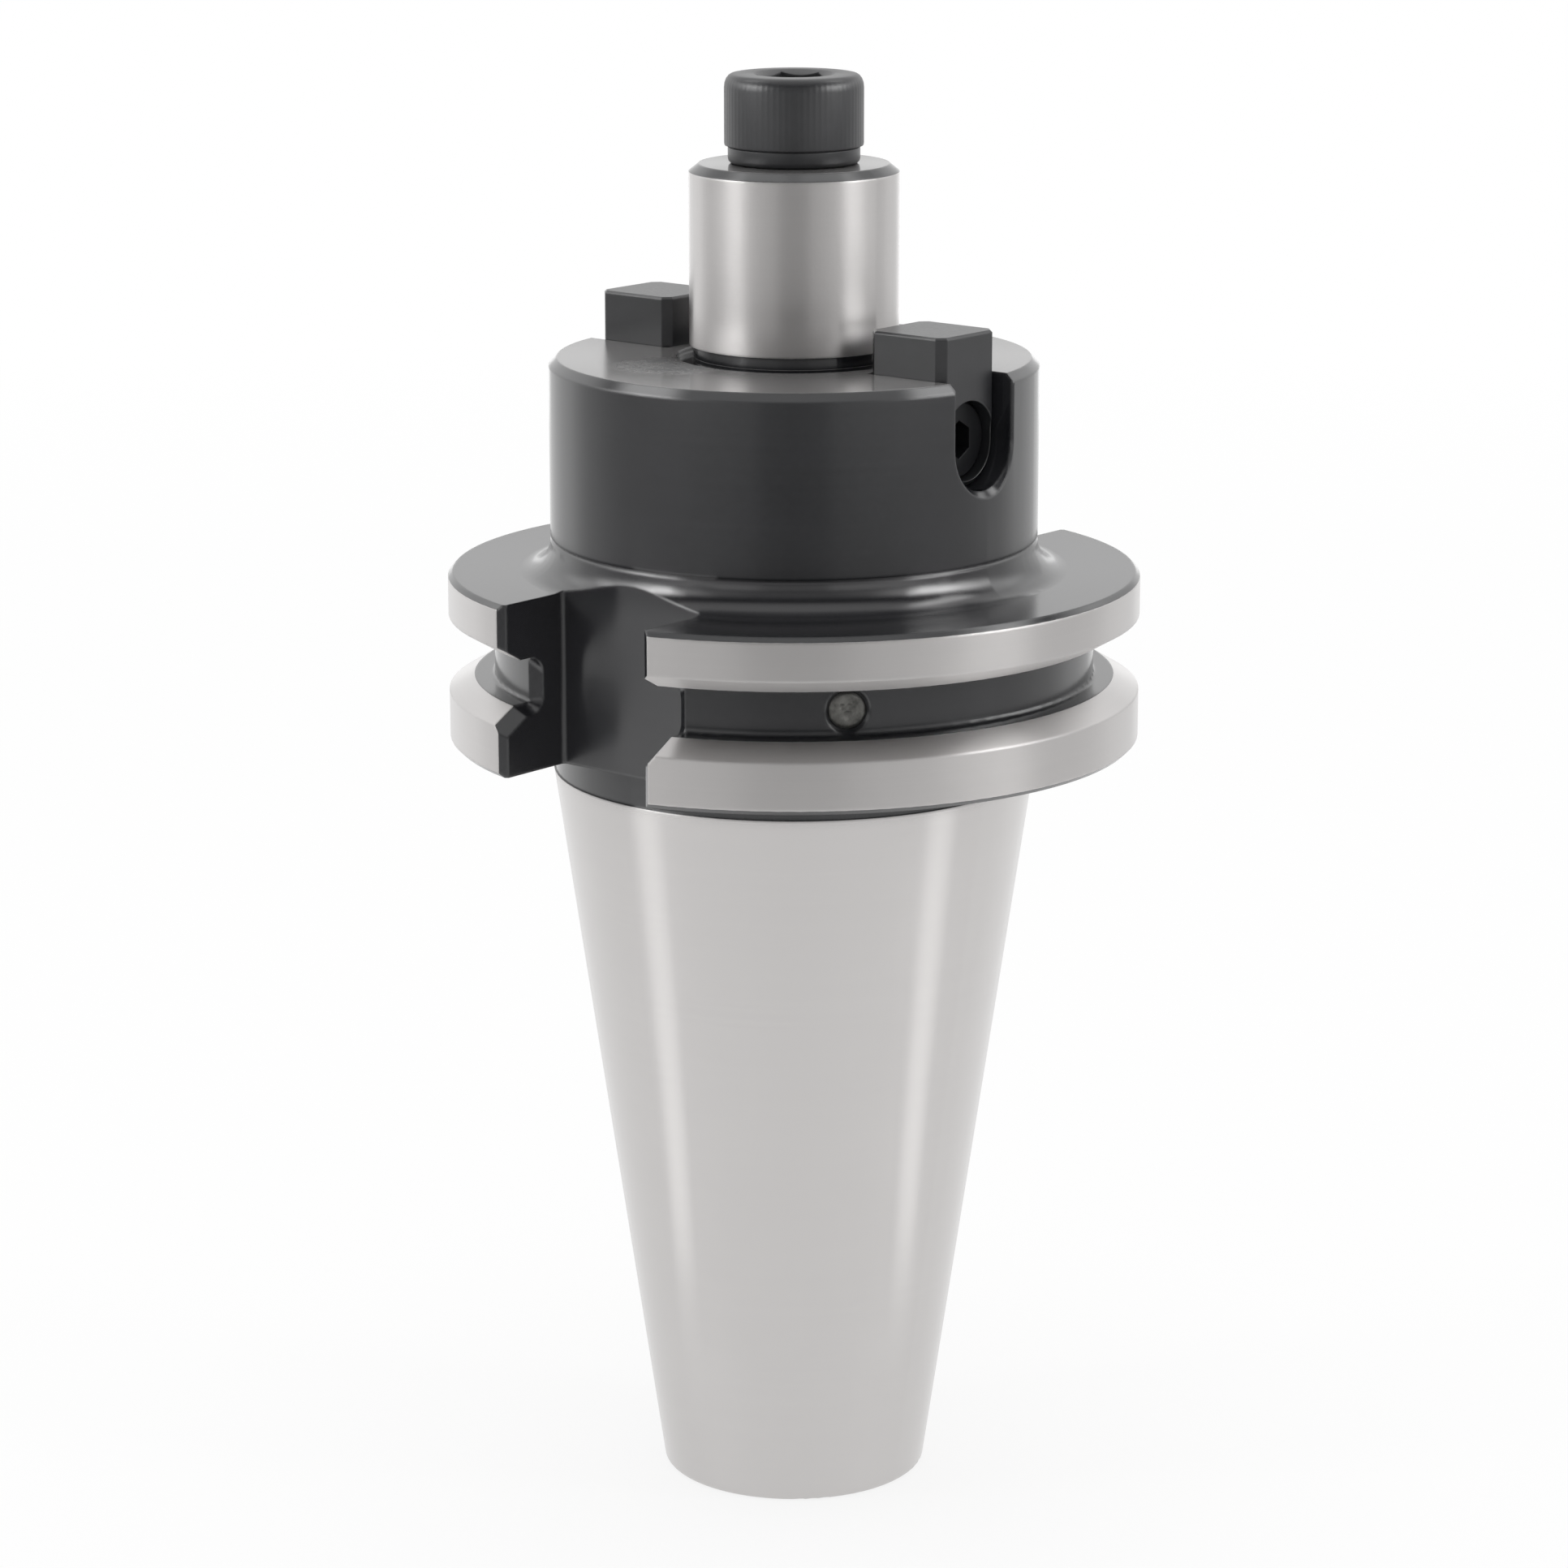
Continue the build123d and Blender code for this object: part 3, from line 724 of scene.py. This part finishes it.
class ARBOR_OT_plug(bpy.types.Operator):
    """Make the dented plug in the gripper groove"""
    bl_idname = "arbor.plug"
    bl_label = "Groove plug"

    def execute(self, context):
        size = context.scene.arbor.plug
        bm = bmesh.new()
        # Half the section: the flat face in rings, its rounded edge, the side and the hidden end
        flat = size.radius - PLUG_EDGE_WIDTH * MM
        knee_out, knee_down = PLUG_EDGE_KNEE
        outline = [(flat * number / PLUG_RINGS, 0) for number in range(PLUG_RINGS + 1)]
        outline += [
            (flat + knee_out * MM, knee_down * MM), (size.radius, -PLUG_EDGE_DROP * MM),
            (size.radius, -size.length), (0, -size.length)]
        chain = [bm.verts.new((radius, 0, height)) for radius, height in outline]
        edges = [bm.edges.new(pair) for pair in zip(chain, chain[1:])]
        bmesh.ops.spin(
            bm, geom=chain + edges, cent=(0, 0, 0), axis=(0, 0, 1), angle=2 * math.pi,
            steps=PLUG_SIDES, use_merge=True)
        bmesh.ops.remove_doubles(bm, verts=bm.verts, dist=1e-6)
        for x, y, reach in PLUG_DENTS:
            for vertex in bm.verts:
                gap = math.hypot(vertex.co.x / MM - x, vertex.co.y / MM - y) / reach
                if vertex.co.z > -PLUG_FACE_DEPTH * MM and gap < 1:
                    vertex.co.z -= size.dent_depth * (1 - gap * gap)
        bmesh.ops.recalc_face_normals(bm, faces=bm.faces)
        place = (
            Matrix.Rotation(math.radians(PLUG_ANGLE - 90), 4, "Z")
            @ Matrix.Translation(((GROOVE_FLOOR_RADIUS - PLUG_RECESS) * MM, 0, GROOVE_Z * MM))
            @ Matrix.Rotation(math.radians(90), 4, "Y"))
        bmesh.ops.transform(bm, matrix=place, verts=bm.verts)
        piece = new_piece("groove_plug_dented", bm, plug_finish(size), "arbor")
        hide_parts("groove_plug")
        return {"FINISHED"}


def seen_rays(nodes):
    """1 for camera, glossy and transmission rays."""
    camera, glossy, through = nodes.node(
        "LightPath", outputs=("Is Camera Ray", "Is Glossy Ray", "Is Transmission Ray"))
    return camera.math("MAXIMUM", camera.math("MAXIMUM", camera, glossy), through)


def stage_material(name, shade, keep):
    """A matt colour that the camera and reflections see mostly as white, and wholly so far off."""
    f = Finish(name)
    matt = f.node("BsdfDiffuse", inputs={"Color": (*shade, 1)})
    white = f.node("Emission", inputs={"Strength": 1.0})
    share = keep + f.radius.rises(FLOOR_WHITE_FROM, FLOOR_WHITE_TO) * (1 - keep)
    mix = f.node("MixShader", inputs={0: seen_rays(f) * share, 1: matt, 2: white})
    f.node("OutputMaterial", inputs={"Surface": mix})
    return f.material


def white_world(strength):
    """White for the camera and reflections, and a plain level of light for the rest."""
    world = bpy.data.worlds.new("studio_surround")
    bpy.context.scene.world = world
    nodes = Nodes(world)
    white = (1, 1, 1, 1)
    lit = nodes.node("Background", inputs={"Color": white, "Strength": strength})
    seen = nodes.node("Background", inputs={"Color": white, "Strength": 1.0})
    mix = nodes.node("MixShader", inputs={0: seen_rays(nodes), 1: lit, 2: seen})
    nodes.node("OutputWorld", inputs={"Surface": mix})


def around(turn, distance, height):
    """A place seen from the axis in a direction, where 0 is -Y and 90 degrees is +X."""
    return Vector((math.sin(turn) * distance, -math.cos(turn) * distance, height))


def soft_lamp(name, place, target, wide, tall, power):
    """A rectangular lamp that faces a point."""
    lamp = bpy.data.lights.new(name, "AREA")
    lamp.shape = "RECTANGLE"
    lamp.size, lamp.size_y, lamp.energy = wide, tall, power
    holder = bpy.data.objects.new(name, lamp)
    holder.location = place
    holder.rotation_mode = "QUATERNION"
    holder.rotation_quaternion = (target - place).to_track_quat("-Z", "Y")
    bpy.context.scene.collection.objects.link(holder)
    return holder


def reflector(name, outline, turn, half_angle):
    """A curved card that only reflections see, and its unfinished material.

    The material's away is how many degrees round from the card's middle a point is.
    """
    bm = bmesh.new()
    chain = [bm.verts.new(around(turn - half_angle, radius, height)) for radius, height in outline]
    edges = [bm.edges.new(pair) for pair in zip(chain, chain[1:])]
    bmesh.ops.spin(
        bm, geom=chain + edges, cent=(0, 0, 0), axis=(0, 0, 1), angle=2 * half_angle,
        steps=REFLECTOR_STEPS, use_merge=False)
    mesh = bpy.data.meshes.new(name)
    bm.to_mesh(mesh)
    bm.free()
    card = bpy.data.objects.new(name, mesh)
    bpy.context.scene.collection.objects.link(card)
    for ray in ("camera", "diffuse", "transmission", "volume_scatter", "shadow"):
        setattr(card, "visible_" + ray, False)
    f = Finish(name + "_glow")
    mesh.materials.append(f.material)
    ahead = f.vector(math.sin(turn), -math.cos(turn), 0.0)
    flat = f.node("VectorMath", {"operation": "NORMALIZE"}, {0: f.vector(f.x, f.y, 0.0)})
    across = f.node("VectorMath", {"operation": "DOT_PRODUCT"}, {0: flat, 1: ahead}, "Value")
    f.away = across.math("ARCCOSINE", across) * (180 / math.pi)
    return f


def glow(f, strength):
    """Finish a reflector's material as plain light."""
    f.node("OutputMaterial", inputs={"Surface": f.node("Emission", inputs={"Strength": strength})})


def card(name, outline, turn, half_angle, stops):
    """A bright card, a little uneven from its middle to its ends."""
    f = reflector(name, outline, turn, math.radians(half_angle))
    shade = f.node("ValToRGB", {"stops": stops}, {"Fac": f.away / (2 * half_angle)})
    glow(f, shade * CARD_SCALE)


def dome(turn):
    """What shiny faces see round the arbor: dim towards the camera and lighter behind.

    Ranges are in degrees, round from the camera or up from the eye height. Only the border of
    the camera's right half is in millimetres.
    """
    f = reflector("studio_dome", DOME_OUTLINE, turn, math.radians(DOME_HALF_ANGLE))
    over_eye = f.z - EYE_HEIGHT
    up = over_eye.math("ARCTAN2", over_eye, f.radius) * (180 / math.pi)
    high = up.rises(10, 22)
    right = (f.x * math.cos(turn) + f.y * math.sin(turn)).rises(-20, 20)
    low = f.node("ValToRGB", {"stops": DOME}, {"Fac": f.away / 180})
    low = low * (1 - right * f.away.rises(90, 125) * 0.16)
    above = f.node("ValToRGB", {"stops": ABOVE}, {"Fac": f.away / 180}) * ABOVE_SCALE
    strip = up.between(-5, 9, 3) * f.away.rises(80, 50) * (0.44 + f.away.rises(13, 19) * 0.3)
    box = f.away.between(92, 121, 4) * up.between(43, 61, 3) * 2.6
    behind = f.away.rises(110, 126) * high * 0.8
    ceiling = up.rises(50, 60) * 0.7
    glow(f, low * (1 - high) + strip + above * high * up.rises(38, 27) + box + behind + ceiling)


def lay_floor(scene, studio):
    """A wide disc, just under the arbor's end so that the two faces don't lie in one plane."""
    bm = bmesh.new()
    bmesh.ops.create_circle(bm, cap_ends=True, segments=FLOOR_SIDES, radius=FLOOR_RADIUS)
    bmesh.ops.translate(bm, verts=bm.verts, vec=(0, 0, -FLOOR_GAP))
    mesh = bpy.data.meshes.new("floor")
    bm.to_mesh(mesh)
    bm.free()
    floor = bpy.data.objects.new("floor", mesh)
    scene.collection.objects.link(floor)
    mesh.materials.append(stage_material("floor_white", studio.floor_color, FLOOR_WHITE_SHARE))


def hang_lamps(studio):
    """Soft lamps that only light, and cards and a dome that only reflect."""
    middle = Vector((0, 0, MIDDLE_HEIGHT))
    for name, side in (("left", -1), ("right", 1)):
        turn = studio.turn + side * math.radians(SIDE_LAMP_ANGLE)
        lamp = soft_lamp(
            name + "_lamp", around(turn, SIDE_LAMP_DISTANCE, SIDE_LAMP_HEIGHT), middle,
            SIDE_LAMP_WIDTH, SIDE_LAMP_LENGTH, studio.side_level)
        lamp.visible_glossy = False
        card(name + "_floor_card", FLOOR_CARD_OUTLINE, turn, FLOOR_CARD_HALF_ANGLE, FLOOR_CARD)
        behind = studio.turn + side * math.radians(BACK_CARD_ANGLE)
        card(name + "_back_card", BACK_CARD_OUTLINE, behind, BACK_CARD_HALF_ANGLE, BACK_CARD)
    top = soft_lamp(
        "top_lamp", Vector((0, 0, TOP_LAMP_HEIGHT)), middle, TOP_LAMP_SIZE, TOP_LAMP_SIZE,
        studio.top_level)
    top.visible_glossy = False
    dome(studio.turn)


def place_camera(scene, studio):
    """The photograph's camera, looking towards the axis and down by its pitch."""
    camera = bpy.data.cameras.new("photo_camera")
    camera.sensor_width = CAMERA_SENSOR
    camera.lens = CAMERA_LENS
    camera.shift_x = CAMERA_SHIFT
    camera.clip_start, camera.clip_end = CAMERA_NEAR, CAMERA_FAR
    holder = bpy.data.objects.new("photo_camera", camera)
    holder.location = around(studio.turn, studio.distance, studio.height)
    ahead = around(studio.turn, -math.cos(studio.pitch), -math.sin(studio.pitch))
    holder.rotation_mode = "QUATERNION"
    holder.rotation_quaternion = ahead.to_track_quat("-Z", "Y")
    scene.collection.objects.link(holder)
    scene.camera = holder


class ARBOR_OT_studio(bpy.types.Operator):
    """Make the floor, the lamps, what reflections see and the camera"""
    bl_idname = "arbor.studio"
    bl_label = "Studio"

    def execute(self, context):
        scene = context.scene
        studio = scene.arbor.studio
        lay_floor(scene, studio)
        white_world(studio.surround)
        hang_lamps(studio)
        place_camera(scene, studio)
        scene.view_settings.view_transform = "Standard"
        return {"FINISHED"}


class ARBOR_PT_panel(bpy.types.Panel):
    """The arbor's settings and pieces"""
    bl_idname = "ARBOR_PT_panel"
    bl_label = "Shell Mill Arbor"
    bl_space_type = "VIEW_3D"
    bl_region_type = "UI"
    bl_category = "Arbor"

    def draw(self, context):
        settings = context.scene.arbor
        for name in ("steel", "oxide", "screw", "plug", "studio"):
            box = self.layout.box()
            group = getattr(settings, name)
            box.label(text=type(settings).bl_rna.properties[name].name)
            for key in group.__annotations__:
                box.prop(group, key)
        for step in STEPS:
            self.layout.operator(step.bl_idname, text=step.bl_label)


GROUPS = (
    SteelSettings, OxideSettings, LockScrewSettings, PlugSettings, StudioSettings, ArborSettings)
STEPS = (
    ARBOR_OT_body, ARBOR_OT_keys, ARBOR_OT_key_screws, ARBOR_OT_lock_screw, ARBOR_OT_plug,
    ARBOR_OT_studio)


def register():
    for group in GROUPS + STEPS + (ARBOR_PT_panel,):
        bpy.utils.register_class(group)
    bpy.types.Scene.arbor = PointerProperty(type=ArborSettings)


def unregister():
    del bpy.types.Scene.arbor
    for group in reversed(GROUPS + STEPS + (ARBOR_PT_panel,)):
        bpy.utils.unregister_class(group)


def main():
    """Build the scene from start to end."""
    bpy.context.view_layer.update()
    register()
    for step in STEPS:
        group, name = step.bl_idname.split(".")
        getattr(getattr(bpy.ops, group), name)()


if __name__ == "__main__":
    main()
